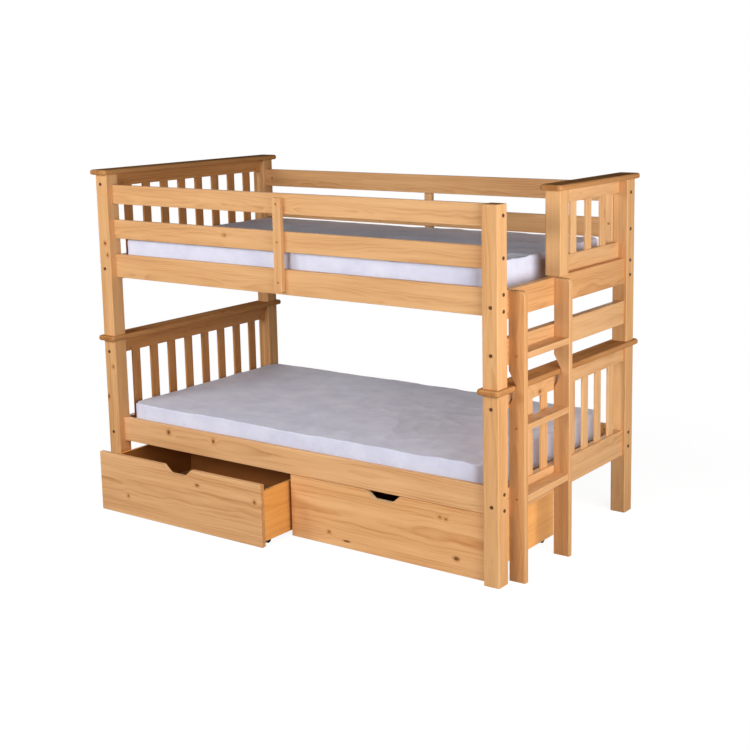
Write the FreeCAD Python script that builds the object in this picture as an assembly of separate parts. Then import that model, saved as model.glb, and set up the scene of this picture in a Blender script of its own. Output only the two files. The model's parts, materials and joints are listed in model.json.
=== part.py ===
import FreeCAD, Part
import math
import os
from FreeCAD import Rotation, Vector

# A low bunk bed of pine, with a fixed ladder at its right end and two rolling drawers under its front.
# Millimetres. +X runs along the bed to the ladder, +Y to the rear, +Z up from the floor.

# Frame
bed_length = 2040.0
bed_width = 1090.0
post_size = 67.0
post_round = 5.0
lower_post_height = 722.0
head_post_rise = 45.0
foot_post_rise = 13.0

# Caps across the ends
lower_cap_thickness = 22.0
upper_cap_thickness = 22.0
cap_side_overhang = 16.0
cap_end_overhang = 25.0
cap_nose_round = 9.0
cap_corner_round = 20.0

# Side rails and guard rails
side_rail_setback = 28.0
side_rail_thickness = 22.0
lower_rail_bottom = 265.0
lower_rail_height = 106.0
upper_rail_lift = 259.0
upper_rail_height = 102.0
guard_height = 82.0
guard_gap = 69.0
board_round = 3.0

# Boards and slats of the end panels
end_rail_setback = 13.0
end_rail_thickness = 34.0
low_end_rail_bottom = 251.0
low_end_rail_height = 109.0
low_top_rail_height = 64.0
head_top_rail_height = 54.0
upper_end_rail_lift = 244.0
upper_end_rail_height = 106.0
bridge_rail_lift = 74.0
bridge_rail_height = 98.0
panel_setback = 41.0
panel_rail_thickness = 22.0
panel_bottom_rail_height = 66.0
panel_top_rail_height = 58.0
slat_count = 8
slat_width = 46.0
slat_thickness = 10.0
slat_round = 2.0
panel_slat_count = 3
access_gap = 388.0

# Uprights that tie the guard rails together
strap_width = 40.0
strap_thickness = 22.0
strap_bottom_margin = 14.0
strap_top_margin = 17.0
corner_upright_width = 32.0

# Cross slats and their cleats
cleat_thickness = 22.0
cleat_height = 25.0
cleat_end_gap = 70.0
bed_slat_count = 12
bed_slat_width = 70.0
bed_slat_thickness = 18.0
bed_slat_side_gap = 1.5
bed_slat_end_gap = 45.0

# Mattresses
mattress_head_gap = 18.0
mattress_foot_gap = 50.0
mattress_side_gap = 6.0
mattress_thickness = 120.0
mattress_crown = 10.0
mattress_end_crown = 3.0
mattress_draw_in = 4.0
mattress_edge_round = 14.0
mattress_corner_round = 40.0

# Ladder
ladder_offset = 28.0
ladder_width = 360.0
stile_thickness = 25.0
stile_depth = 67.0
stile_top_drop = 2.0
stile_top_round = 20.0
stile_foot_round = 4.0
notch_rise = 54.0
notch_drop = 57.0
notch_clearance = 1.0
rung_count = 3
rung_spacing = 267.5
rung_thickness = 25.0
rung_depth = 60.0
rung_setback = 4.0

# Connector bolts, barrel nuts, pins and screws
bolt_radius = 3.0
bolt_head_radius = 7.0
bolt_head_height = 2.5
bolt_head_round = 1.0
bolt_socket_width = 4.0
bolt_socket_depth = 1.6
bolt_tip = 6.0
nut_radius = 5.0
nut_depth = 40.0
nut_skin = 3.5
pin_radius = 6.0
pin_length = 100.0
screw_radius = 2.5
screw_head_radius = 5.0
screw_head_height = 2.0
screw_cover = 4.0
screw_bite = 40.0
hole_fit = 0.25
side_bolt_spacing = 61.0
top_rail_bolt_lift = 13.0
ladder_screw_offset = 28.0
cleat_screw_count = 4
cleat_screw_margin = 60.0

# Drawers
drawer_left_gap = 36.0
drawer_right_gap = 14.0
drawer_gap = 4.0
drawer_depth = 541.0
drawer_front_thickness = 22.0
drawer_front_bottom = 4.0
drawer_top_gap = 1.5
drawer_front_round = 2.0
drawer_side_inset = 10.0
drawer_side_thickness = 15.0
drawer_side_bottom = 20.0
drawer_side_drop = 32.5
drawer_side_round = 2.0
drawer_bottom_lift = 46.0
drawer_bottom_thickness = 6.0
drawer_groove_depth = 6.0
drawer_pull = 180.0
hand_cut_width = 165.0
hand_cut_floor = 89.0
hand_cut_depth = 32.5
hand_cut_lip_round = 14.0
hand_cut_floor_round = 22.0

# Drawer wheels and their brackets
wheel_radius = 16.0
wheel_width = 12.0
wheel_round = 1.5
wheel_hub_radius = 7.0
wheel_rim_inner_radius = 11.0
wheel_recess_depth = 1.5
wheel_gap = 1.5
front_wheel_offset = 70.0
rear_wheel_offset = 56.0
axle_radius = 3.5
axle_fit = 0.1
axle_end = 0.7
bracket_thickness = 3.0
bracket_width = 24.0
bracket_reach = 24.0

# Places worked out from the sizes above, about the middle of the bed
half_length = bed_length / 2
half_width = bed_width / 2
post_in_x = half_length - post_size
post_in_y = half_width - post_size
rail_out_y = half_width - side_rail_setback
rail_in_y = rail_out_y - side_rail_thickness
rail_mid_y = (rail_out_y + rail_in_y) / 2
end_out_x = half_length - end_rail_setback
end_in_x = end_out_x - end_rail_thickness
end_mid_x = (end_out_x + end_in_x) / 2
end_x = (end_in_x, end_out_x)
panel_x = (half_length - panel_setback - panel_rail_thickness, half_length - panel_setback)
upper_base = lower_post_height + lower_cap_thickness
cap_out_x = half_length + cap_side_overhang
cap_in_x = post_in_x - cap_side_overhang
cap_out_y = half_width + cap_end_overhang

lower_rail_z = (lower_rail_bottom, lower_rail_bottom + lower_rail_height)
upper_rail_z = (upper_base + upper_rail_lift, upper_base + upper_rail_lift + upper_rail_height)
low_guard_z = (upper_rail_z[1] + guard_gap, upper_rail_z[1] + guard_gap + guard_height)
top_guard_z = (low_guard_z[1] + guard_gap, low_guard_z[1] + guard_gap + guard_height)
head_post_top = top_guard_z[1] + head_post_rise
foot_post_top = top_guard_z[1] + foot_post_rise

low_end_rail_z = (low_end_rail_bottom, low_end_rail_bottom + low_end_rail_height)
low_top_rail_z = (lower_post_height - low_top_rail_height, lower_post_height)
head_top_rail_z = (head_post_top - head_top_rail_height, head_post_top)
upper_end_rail_z = (upper_base + upper_end_rail_lift, upper_base + upper_end_rail_lift + upper_end_rail_height)
bridge_rail_z = (upper_base + bridge_rail_lift, upper_base + bridge_rail_lift + bridge_rail_height)
panel_bottom_rail_z = (upper_end_rail_z[1], upper_end_rail_z[1] + panel_bottom_rail_height)
panel_top_rail_z = (foot_post_top - panel_top_rail_height, foot_post_top)
middle_post_y = (access_gap - post_in_y, access_gap - post_in_y + post_size)
strap_z = (upper_rail_z[0] + strap_bottom_margin, top_guard_z[1] - strap_top_margin)

ladder_x = (end_out_x, end_out_x + stile_depth)
ladder_y = (ladder_offset - post_in_y, ladder_offset - post_in_y + ladder_width)
ladder_top = upper_end_rail_z[1] - stile_top_drop
drawer_top = lower_rail_bottom - drawer_top_gap
drawer_side_top = drawer_top - drawer_side_drop
drawer_width = (2 * post_in_x - drawer_left_gap - drawer_right_gap - drawer_gap) / 2

nodes = {}
drills = []


def keep(name, *solids):
    """Put solids into the named node."""
    nodes.setdefault(name, []).extend(solids)


def middle(span):
    return (span[0] + span[1]) / 2


def about(centre, size):
    return (centre - size / 2, centre + size / 2)


def between(a, b):
    return (min(a, b), max(a, b))


def box(x, y, z):
    return Part.makeBox(x[1] - x[0], y[1] - y[0], z[1] - z[0], Vector(x[0], y[0], z[0]))


def edges_along(shape, axis):
    """The straight edges of a box that run along X, Y or Z."""
    index = "xyz".index(axis)
    found = []
    for edge in shape.Edges:
        run = edge.Vertexes[1].Point - edge.Vertexes[0].Point
        if abs(abs(run[index]) - run.Length) < 1e-6:
            found.append(edge)
    return found


def plank(axis, x, y, z, radius):
    """A board with its grain along one axis, and the four edges along it rounded."""
    solid = box(x, y, z)
    return solid.makeFillet(radius, edges_along(solid, axis))


def cap(x, y, bottom, thickness):
    """A flat board with rounded corners and a rounded nose all round."""
    solid = plank("z", x, y, (bottom, bottom + thickness), cap_corner_round)
    rims = [edge for edge in solid.Edges if abs(edge.Vertexes[0].Z - edge.Vertexes[-1].Z) < 1e-6]
    return solid.makeFillet(min(cap_nose_round, 0.45 * thickness), rims)


def drilled(solid):
    """A board with every bolt, nut, pin and screw hole that reaches it."""
    near = [drill for drill in drills if drill.BoundBox.intersect(solid.BoundBox)]
    return solid.cut(near) if near else solid


# Fasteners

def hexagon(width, height):
    """A hexagonal prism on the plane z = 0, with its width across the flats."""
    radius = width / math.sqrt(3)
    points = [Vector(radius * math.cos(math.pi * i / 3), radius * math.sin(math.pi * i / 3), 0) for i in range(7)]
    return Part.Face(Part.makePolygon(points)).extrude(Vector(0, 0, height))


def aim(solid, seat, inward):
    """Turn a fastener that points down -Z so that it points inward from its seat."""
    placed = solid.copy()
    placed.Placement = FreeCAD.Placement(seat, Rotation(Vector(0, 0, -1), inward))
    return placed


def headed(radius, length, head_radius, head_height):
    """A round shank down from z = 0 with a flat-bottomed head, rounded and socketed on top."""
    head = Part.makeCylinder(head_radius, head_height)
    rim = [edge for edge in head.Edges if edge.Vertexes[0].Z > head_height / 2 and len(edge.Vertexes) == 1]
    head = head.makeFillet(bolt_head_round, rim)
    socket = hexagon(bolt_socket_width, bolt_socket_depth)
    socket.translate(Vector(0, 0, head_height - bolt_socket_depth))
    shank = Part.makeCylinder(radius, length, Vector(0, 0, -length))
    return head.cut(socket).fuse(shank).removeSplitter()


bolt_length = post_size + nut_depth + nut_radius + bolt_tip
bolt_blank = headed(bolt_radius, bolt_length, bolt_head_radius, bolt_head_height)


def connector(seat, inward, inside, rail_thickness):
    """A bolt from its seat on a post into a barrel nut that drops into the rail from its inside."""
    nut_length = rail_thickness - 2 * nut_skin
    nut_at = seat + inward * (post_size + nut_depth)
    nut_foot = nut_at - inside * (nut_length / 2)
    nut = Part.makeCylinder(nut_radius, nut_length, nut_foot, inside)
    bore = Part.makeCylinder(bolt_radius + hole_fit, 4 * nut_radius, nut_at - inward * (2 * nut_radius), inward)
    keep("rail_bolts", aim(bolt_blank, seat, inward))
    keep("barrel_nuts", nut.cut(bore))
    drills.append(Part.makeCylinder(bolt_radius + hole_fit, bolt_length + bolt_tip, seat, inward))
    drills.append(Part.makeCylinder(nut_radius + hole_fit, nut_length + 2 * nut_skin, nut_foot, inside))


def screw(seat, inward, length):
    """A wood screw with its head on the seat."""
    blank = headed(screw_radius, length, screw_head_radius, screw_head_height)
    keep("wood_screws", aim(blank, seat, inward))
    drills.append(Part.makeCylinder(screw_radius + hole_fit, length + hole_fit, seat, inward))


def dowel(centre, along):
    """A dowel pin about its centre, half in one piece and half in the next."""
    foot = centre - along * (pin_length / 2)
    keep("bunk_pins", Part.makeCylinder(pin_radius, pin_length, foot, along))
    drills.append(Part.makeCylinder(pin_radius + hole_fit, pin_length, foot, along))


ends = (("left", -1), ("right", 1))
sides = (("front", -1), ("rear", 1))

# Bolts that run along the bed into the side rails and guard rails
side_bolt_heights = [middle(lower_rail_z) + offset for offset in about(0, side_bolt_spacing)]
side_bolt_heights += [middle(upper_rail_z) + offset for offset in about(0, side_bolt_spacing)]
side_bolt_heights += [middle(low_guard_z), middle(top_guard_z)]
for end, ex in ends:
    for side, sy in sides:
        for height in side_bolt_heights:
            seat = Vector(ex * half_length, sy * rail_mid_y, height)
            connector(seat, Vector(-ex, 0, 0), Vector(0, -sy, 0), side_rail_thickness)
        post_middle = Vector(ex * (half_length - post_size / 2), sy * (half_width - post_size / 2), 0)
        dowel(post_middle + Vector(0, 0, lower_post_height + lower_cap_thickness / 2), Vector(0, 0, 1))

# Bolts that run across the bed into the end rails, and dowels between the end panel and its middle post
low_bolt_heights = [middle(low_end_rail_z), low_top_rail_z[0] + top_rail_bolt_lift]
across_heights = {
    "left": low_bolt_heights + [middle(upper_end_rail_z), head_top_rail_z[0] + top_rail_bolt_lift],
    "right": low_bolt_heights + [middle(bridge_rail_z), middle(upper_end_rail_z)],
}
panel_bolt_heights = [middle(panel_bottom_rail_z), middle(panel_top_rail_z)]
for end, ex in ends:
    for side, sy in sides:
        for height in across_heights[end]:
            seat = Vector(ex * end_mid_x, sy * half_width, height)
            connector(seat, Vector(0, -sy, 0), Vector(-ex, 0, 0), end_rail_thickness)
for height in panel_bolt_heights:
    rear_seat = Vector(middle(panel_x), half_width, height)
    connector(rear_seat, Vector(0, -1, 0), Vector(-1, 0, 0), panel_rail_thickness)
    dowel(Vector(middle(panel_x), middle_post_y[1], height), Vector(0, 1, 0))

# Screws of the uprights, outside the rails at mid length and inside them at the rear right corner
strap_screw_length = strap_thickness + side_rail_thickness - screw_cover
for z, corner_lift in ((upper_rail_z, 0), (low_guard_z, guard_height / 4), (top_guard_z, guard_height / 4)):
    for side, sy in sides:
        screw(Vector(0, sy * (rail_out_y + strap_thickness), middle(z)), Vector(0, -sy, 0), strap_screw_length)
    corner = Vector(post_in_x - corner_upright_width / 2, rail_in_y - strap_thickness, middle(z) + corner_lift)
    screw(corner, Vector(0, 1, 0), strap_screw_length)

# Screws of the slat cleats
cleat_reach = post_in_x - cleat_end_gap
cleat_step = 2 * (cleat_reach - cleat_screw_margin) / (cleat_screw_count - 1)
for rail_z in (lower_rail_z, upper_rail_z):
    for side, sy in sides:
        for i in range(cleat_screw_count):
            x = cleat_screw_margin - cleat_reach + i * cleat_step
            seat = Vector(x, sy * (rail_in_y - cleat_thickness), rail_z[0] + cleat_height / 2)
            screw(seat, Vector(0, sy, 0), cleat_thickness + side_rail_thickness - screw_cover)

# Screws of the ladder: through the end boards into the stiles, and through the stiles into the rungs
stile_spans = {
    "front": (ladder_y[0], ladder_y[0] + stile_thickness),
    "rear": (ladder_y[1] - stile_thickness, ladder_y[1]),
}
cap_middle = lower_post_height + lower_cap_thickness / 2
rung_tops = [cap_middle + (i - rung_count / 2) * rung_spacing for i in range(rung_count)]
rung_x = (ladder_x[1] - rung_setback - rung_depth, ladder_x[1] - rung_setback)
for side, sy in sides:
    stile_y = middle(stile_spans[side])
    for height in (middle(bridge_rail_z) - ladder_screw_offset, middle(upper_end_rail_z) + ladder_screw_offset):
        screw(Vector(end_in_x, stile_y, height), Vector(1, 0, 0), end_rail_thickness + screw_bite)
    outside_y = stile_y + sy * stile_thickness / 2
    for top in rung_tops:
        seat = Vector(middle(rung_x), outside_y, top - rung_thickness / 2)
        screw(seat, Vector(0, -sy, 0), stile_thickness + screw_bite)

# Posts and caps

def post(x, y, z):
    return drilled(plank("z", x, y, z, post_round))


upper_tops = {
    ("left", "front"): head_post_top,
    ("left", "rear"): head_post_top,
    ("right", "front"): top_guard_z[1],
    ("right", "rear"): foot_post_top,
}
for end, ex in ends:
    x = between(ex * post_in_x, ex * half_length)
    for side, sy in sides:
        y = between(sy * post_in_y, sy * half_width)
        keep(f"lower_post_{side}_{end}", post(x, y, (0, lower_post_height)))
        keep(f"upper_post_{side}_{end}", post(x, y, (upper_base, upper_tops[end, side])))
    cap_x = between(ex * cap_in_x, ex * cap_out_x)
    lower_cap = cap(cap_x, (-cap_out_y, cap_out_y), lower_post_height, lower_cap_thickness)
    keep(f"lower_cap_{end}", drilled(lower_cap))
right_post_x = (post_in_x, half_length)
keep("upper_post_middle", post(right_post_x, middle_post_y, (upper_end_rail_z[1], foot_post_top)))
head_cap_x = (-cap_out_x, -cap_in_x)
keep("upper_cap_left", cap(head_cap_x, (-cap_out_y, cap_out_y), head_post_top, upper_cap_thickness))
foot_cap_y = (middle_post_y[0] - cap_end_overhang, cap_out_y)
keep("upper_cap_right", cap((cap_in_x, cap_out_x), foot_cap_y, foot_post_top, upper_cap_thickness))

# End boards and upright slats

def end_board(name, ex, x, y, z):
    """A board across an end, between two posts."""
    keep(name, drilled(plank("y", between(ex * x[0], ex * x[1]), y, z, board_round)))


def upright_slats(name, ex, x, centres, z):
    """Slats that stand between the lower and upper boards of an end panel."""
    for centre in centres:
        keep(name, plank("z", about(ex * middle(x), slat_thickness), about(centre, slat_width), z, slat_round))


post_to_post = (-post_in_y, post_in_y)
slat_pitch = (2 * post_in_y - slat_count * slat_width) / (slat_count + 1) + slat_width
slat_centres = [(i - (slat_count - 1) / 2) * slat_pitch for i in range(slat_count)]
for panel, ex in (("headboard", -1), ("footboard", 1)):
    end_board(f"lower_{panel}_bottom_rail", ex, end_x, post_to_post, low_end_rail_z)
    end_board(f"lower_{panel}_top_rail", ex, end_x, post_to_post, low_top_rail_z)
    upright_slats(f"lower_{panel}_slats", ex, end_x, slat_centres, (low_end_rail_z[1], low_top_rail_z[0]))
end_board("upper_headboard_bottom_rail", -1, end_x, post_to_post, upper_end_rail_z)
end_board("upper_headboard_top_rail", -1, end_x, post_to_post, head_top_rail_z)
upright_slats("upper_headboard_slats", -1, end_x, slat_centres, (upper_end_rail_z[1], head_top_rail_z[0]))
end_board("upper_bridge_rail", 1, end_x, post_to_post, bridge_rail_z)
end_board("upper_end_rail", 1, end_x, post_to_post, upper_end_rail_z)
panel_y = (middle_post_y[1], post_in_y)
panel_pitch = (panel_y[1] - panel_y[0]) / (panel_slat_count + 1)
panel_centres = [panel_y[0] + (i + 1) * panel_pitch for i in range(panel_slat_count)]
end_board("end_panel_bottom_rail", 1, panel_x, panel_y, panel_bottom_rail_z)
end_board("end_panel_top_rail", 1, panel_x, panel_y, panel_top_rail_z)
upright_slats("end_panel_slats", 1, panel_x, panel_centres, (panel_bottom_rail_z[1], panel_top_rail_z[0]))

# Side rails, guard rails and the uprights on them
inner_length = (-post_in_x, post_in_x)
for side, sy in sides:
    y = between(sy * rail_in_y, sy * rail_out_y)
    long_boards = {
        f"lower_side_rail_{side}": lower_rail_z,
        f"upper_side_rail_{side}": upper_rail_z,
        f"guard_rail_{side}_bottom": low_guard_z,
        f"guard_rail_{side}_top": top_guard_z,
    }
    for name, z in long_boards.items():
        keep(name, drilled(plank("x", inner_length, y, z, board_round)))
    strap_y = between(sy * rail_out_y, sy * (rail_out_y + strap_thickness))
    keep("guard_straps", drilled(plank("z", about(0, strap_width), strap_y, strap_z, board_round)))
corner_x = (post_in_x - corner_upright_width, post_in_x)
corner_y = (rail_in_y - strap_thickness, rail_in_y)
keep("guard_straps", drilled(plank("z", corner_x, corner_y, strap_z, board_round)))

# Cross slats on their cleats
slat_reach = post_in_x - bed_slat_end_gap - bed_slat_width / 2
bed_slat_step = 2 * slat_reach / (bed_slat_count - 1)
bed_slat_y = (bed_slat_side_gap - rail_in_y, rail_in_y - bed_slat_side_gap)
for bunk, rail_z in (("lower", lower_rail_z), ("upper", upper_rail_z)):
    cleat_z = (rail_z[0], rail_z[0] + cleat_height)
    slat_z = (cleat_z[1], cleat_z[1] + bed_slat_thickness)
    for side, sy in sides:
        cleat_y = between(sy * (rail_in_y - cleat_thickness), sy * rail_in_y)
        keep("slat_cleats", drilled(plank("x", (-cleat_reach, cleat_reach), cleat_y, cleat_z, slat_round)))
    for i in range(bed_slat_count):
        x = about(i * bed_slat_step - slat_reach, bed_slat_width)
        keep(f"{bunk}_bed_slats", plank("y", x, bed_slat_y, slat_z, slat_round))

# Mattresses

def line(a, b):
    return Part.LineSegment(a, b).toShape()


def arc(a, through, b):
    return Part.Arc(a, through, b).toShape()


def mattress_section(x, half, bottom, crown):
    """One cross-section: flat underneath, sides drawn in, crowned on top, with rounded corners."""
    r = mattress_edge_round
    bend = r * (1 - math.sqrt(0.5))
    top = bottom + mattress_thickness
    side_middle = (bottom + top) / 2

    def at(y, z):
        return Vector(x, y, z)

    edges = [line(at(r - half, bottom), at(half - r, bottom))]
    edges.append(arc(at(half - r, bottom), at(half - bend, bottom + bend), at(half, bottom + r)))
    edges.append(arc(at(half, bottom + r), at(half - mattress_draw_in, side_middle), at(half, top - r)))
    edges.append(arc(at(half, top - r), at(half - bend, top - bend), at(half - r, top)))
    edges.append(arc(at(half - r, top), at(0, top + crown), at(r - half, top)))
    edges.append(arc(at(r - half, top), at(bend - half, top - bend), at(-half, top - r)))
    edges.append(arc(at(-half, top - r), at(mattress_draw_in - half, side_middle), at(-half, bottom + r)))
    edges.append(arc(at(-half, bottom + r), at(bend - half, bottom + bend), at(r - half, bottom)))
    return Part.Wire(edges)


def mattress(bottom):
    """A loft along the bed, rounded in plan at its corners and fullest at mid length."""
    x_low = mattress_head_gap - post_in_x
    x_high = post_in_x - mattress_foot_gap
    half = rail_in_y - mattress_side_gap
    r = mattress_corner_round
    turn = math.sqrt(0.5)
    steps = [(0, r), (r * (1 - turn), r * (1 - turn)), (r, 0)]
    stations = [(x_low + along, inset) for along, inset in steps]
    stations.append(((x_low + x_high) / 2, 0))
    stations += [(x_high - along, inset) for along, inset in reversed(steps)]
    sections = []
    for x, inset in stations:
        share = (2 * x - x_low - x_high) / (x_high - x_low)
        crown = mattress_crown + (mattress_end_crown - mattress_crown) * share ** 2
        sections.append(mattress_section(x, half - inset, bottom, crown))
    return Part.makeLoft(sections, True, True)


for bunk, rail_z in (("lower", lower_rail_z), ("upper", upper_rail_z)):
    keep(f"{bunk}_mattress", mattress(rail_z[0] + cleat_height + bed_slat_thickness))

# Ladder

def stile(y):
    """An upright plank, rounded at its outer top and notched on its inside to clear the lower cap."""
    low, high = ladder_x
    notch_x = cap_out_x + notch_clearance
    outline = [
        Vector(low, y[0], 0),
        Vector(high, y[0], 0),
        Vector(high, y[0], ladder_top),
        Vector(low, y[0], ladder_top),
        Vector(low, y[0], upper_base + notch_rise),
        Vector(notch_x, y[0], upper_base),
        Vector(notch_x, y[0], lower_post_height),
        Vector(low, y[0], lower_post_height - notch_drop),
        Vector(low, y[0], 0),
    ]
    solid = Part.Face(Part.makePolygon(outline)).extrude(Vector(0, y[1] - y[0], 0))
    across = edges_along(solid, "y")
    top_edges = [edge for edge in across if edge.Vertexes[0].Z > ladder_top - 1 and edge.Vertexes[0].X > high - 1]
    solid = solid.makeFillet(stile_top_round, top_edges)
    outer = [edge for edge in edges_along(solid, "z") if edge.Vertexes[0].X > high - 1]
    return drilled(solid.makeFillet(stile_foot_round, outer))


for side, sy in sides:
    keep(f"ladder_stile_{side}", stile(stile_spans[side]))
rung_y = (stile_spans["front"][1], stile_spans["rear"][0])
for top in rung_tops:
    keep("ladder_rungs", drilled(plank("y", rung_x, rung_y, (top - rung_thickness, top), board_round)))

# Drawers

def hand_cut(x, y, top):
    """The trough that is cut from a drawer front's top edge as a hand-hold."""
    overshoot = hand_cut_lip_round + drawer_front_round
    slope = (hand_cut_width - hand_cut_floor) / 2 / hand_cut_depth
    lip = hand_cut_width / 2 + slope * overshoot
    floor = hand_cut_floor / 2
    outline = [
        Vector(x - lip, y[0] - 1, top + overshoot),
        Vector(x - floor, y[0] - 1, top - hand_cut_depth),
        Vector(x + floor, y[0] - 1, top - hand_cut_depth),
        Vector(x + lip, y[0] - 1, top + overshoot),
        Vector(x - lip, y[0] - 1, top + overshoot),
    ]
    solid = Part.Face(Part.makePolygon(outline)).extrude(Vector(0, y[1] - y[0] + 2, 0))
    floor_edges = [edge for edge in edges_along(solid, "y") if edge.Vertexes[0].Z < top]
    return solid.makeFillet(hand_cut_floor_round, floor_edges)


def wheel(x, y):
    """A small roller with its recessed faces square to X."""
    foot = Vector(x[0], y, wheel_radius)
    along = Vector(1, 0, 0)
    width = x[1] - x[0]
    solid = Part.makeCylinder(wheel_radius, width, foot, along)
    solid = solid.makeFillet(wheel_round, [edge for edge in solid.Edges if len(edge.Vertexes) == 1])
    for start in (x[0], x[1] - wheel_recess_depth):
        recess = Part.makeCylinder(wheel_rim_inner_radius, wheel_recess_depth, Vector(start, y, wheel_radius), along)
        hub = Part.makeCylinder(wheel_hub_radius, wheel_recess_depth, Vector(start, y, wheel_radius), along)
        solid = solid.cut(recess.cut(hub))
    return solid.cut(Part.makeCylinder(axle_radius + axle_fit, width, foot, along))


def wheel_bracket(tip_x, plate_x, inward, y):
    """An angle plate under a drawer's bottom, with the stub axle of one wheel."""
    width = about(y, bracket_width)
    plate_z = (wheel_radius - bracket_width / 2, drawer_bottom_lift)
    flange_z = (drawer_bottom_lift - bracket_thickness, drawer_bottom_lift)
    plate = box(between(plate_x, plate_x + inward * bracket_thickness), width, plate_z)
    flange = box(between(plate_x, plate_x + inward * bracket_reach), width, flange_z)
    tip = Vector(tip_x, y, wheel_radius)
    axle = Part.makeCylinder(axle_radius, abs(plate_x - tip_x), tip, Vector(inward, 0, 0))
    return plate.fuse([flange, axle]).removeSplitter()


def drawer(name, x_low, pull):
    """A drawer with its front at x_low and pulled out of the bed by the given length."""
    front_x = (x_low, x_low + drawer_width)
    face_y = -rail_out_y - pull
    front_y = (face_y, face_y + drawer_front_thickness)
    back_y = (face_y + drawer_depth - drawer_side_thickness, face_y + drawer_depth)
    outer_x = (front_x[0] + drawer_side_inset, front_x[1] - drawer_side_inset)
    inner_x = (outer_x[0] + drawer_side_thickness, outer_x[1] - drawer_side_thickness)
    panel_z = (drawer_side_bottom, drawer_side_top)
    bottom_x = (inner_x[0] - drawer_groove_depth, inner_x[1] + drawer_groove_depth)
    bottom_y = (front_y[1] - drawer_groove_depth, back_y[0] + drawer_groove_depth)
    bottom = box(bottom_x, bottom_y, (drawer_bottom_lift, drawer_bottom_lift + drawer_bottom_thickness))
    keep(f"{name}_bottom", bottom)

    front = box(front_x, front_y, (drawer_front_bottom, drawer_top))
    front = front.makeFillet(drawer_front_round, front.Edges)
    keep(f"{name}_front", front.cut([hand_cut(middle(front_x), front_y, drawer_top), bottom]))

    back = plank("x", inner_x, back_y, panel_z, drawer_side_round)
    keep(f"{name}_box_panels", back.cut(bottom))
    wheel_rows = {
        "front": face_y + front_wheel_offset,
        "rear": face_y + drawer_depth - rear_wheel_offset,
    }
    for wall, inward in ((0, 1), (1, -1)):
        wall_x = between(outer_x[wall], inner_x[wall])
        panel = plank("y", wall_x, (front_y[1], back_y[1]), panel_z, drawer_side_round)
        keep(f"{name}_box_panels", panel.cut(bottom))
        wheel_near = inner_x[wall] + inward * wheel_gap
        wheel_far = wheel_near + inward * wheel_width
        axle_tip = wheel_near - inward * axle_end
        for row, y in wheel_rows.items():
            keep(f"{name}_{row}_wheels", wheel(between(wheel_near, wheel_far), y))
            keep(f"{name}_axles", wheel_bracket(axle_tip, wheel_far + inward * wheel_gap, inward, y))


left_drawer_x = drawer_left_gap - post_in_x
drawer("drawer_left", left_drawer_x, drawer_pull)
drawer("drawer_right", left_drawer_x + drawer_width + drawer_gap, 0)

# The origin is on the floor, under the middle of everything as it stands
reach_x = (-cap_out_x, max(cap_out_x, ladder_x[1]))
reach_y = (-max(cap_out_y, rail_out_y + drawer_pull), cap_out_y)
to_origin = Vector(-middle(reach_x), -middle(reach_y), 0)

os.makedirs("parts", exist_ok=True)
for name, solids in nodes.items():
    shape = solids[0] if len(solids) == 1 else Part.makeCompound(solids)
    shape.translate(to_origin)
    shape.exportStep(f"parts/{name}.step")
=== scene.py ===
"""A low bunk bed in lacquered pine: its finishes, mattresses, floor, light and camera, in metres."""
import json
import math

import bmesh
import bpy
from mathutils import Matrix, Vector, noise

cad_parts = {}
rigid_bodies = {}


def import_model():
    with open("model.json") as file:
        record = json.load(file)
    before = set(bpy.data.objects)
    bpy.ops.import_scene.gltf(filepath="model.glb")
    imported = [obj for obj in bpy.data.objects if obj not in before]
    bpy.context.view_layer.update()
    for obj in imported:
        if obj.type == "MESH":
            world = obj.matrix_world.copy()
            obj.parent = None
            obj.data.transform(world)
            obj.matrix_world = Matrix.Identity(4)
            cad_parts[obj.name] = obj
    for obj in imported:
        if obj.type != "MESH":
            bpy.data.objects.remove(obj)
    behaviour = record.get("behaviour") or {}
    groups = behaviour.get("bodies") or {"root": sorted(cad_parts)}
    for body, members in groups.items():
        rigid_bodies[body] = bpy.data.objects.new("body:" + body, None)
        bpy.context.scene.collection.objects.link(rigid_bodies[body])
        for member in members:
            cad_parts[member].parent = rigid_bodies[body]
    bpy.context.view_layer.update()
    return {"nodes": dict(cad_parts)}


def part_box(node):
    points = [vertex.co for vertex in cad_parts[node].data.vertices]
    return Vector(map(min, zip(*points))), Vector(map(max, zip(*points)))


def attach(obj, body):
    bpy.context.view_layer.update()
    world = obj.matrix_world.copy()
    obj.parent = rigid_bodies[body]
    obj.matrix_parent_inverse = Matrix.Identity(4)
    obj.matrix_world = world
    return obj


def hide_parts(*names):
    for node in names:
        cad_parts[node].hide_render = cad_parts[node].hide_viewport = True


for thing in list(bpy.data.objects):
    bpy.data.objects.remove(thing)

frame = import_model()
nodes = frame["nodes"]
slot_of = {name: thing.material_slots[0].material.name for name, thing in nodes.items()}
AXES = "xyz"
WHITE = (1.0, 1.0, 1.0, 1.0)


# Node shorthand

def colour(code):
    """The linear colour of a hexadecimal screen colour."""
    parts = [int(code[i:i + 2], 16) / 255 for i in (0, 2, 4)]
    return tuple(p / 12.92 if p <= 0.04045 else ((p + 0.055) / 1.055) ** 2.4 for p in parts) + (1.0,)


def grey(level):
    """An opaque grey of a linear level."""
    return (level, level, level, 1.0)


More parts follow.
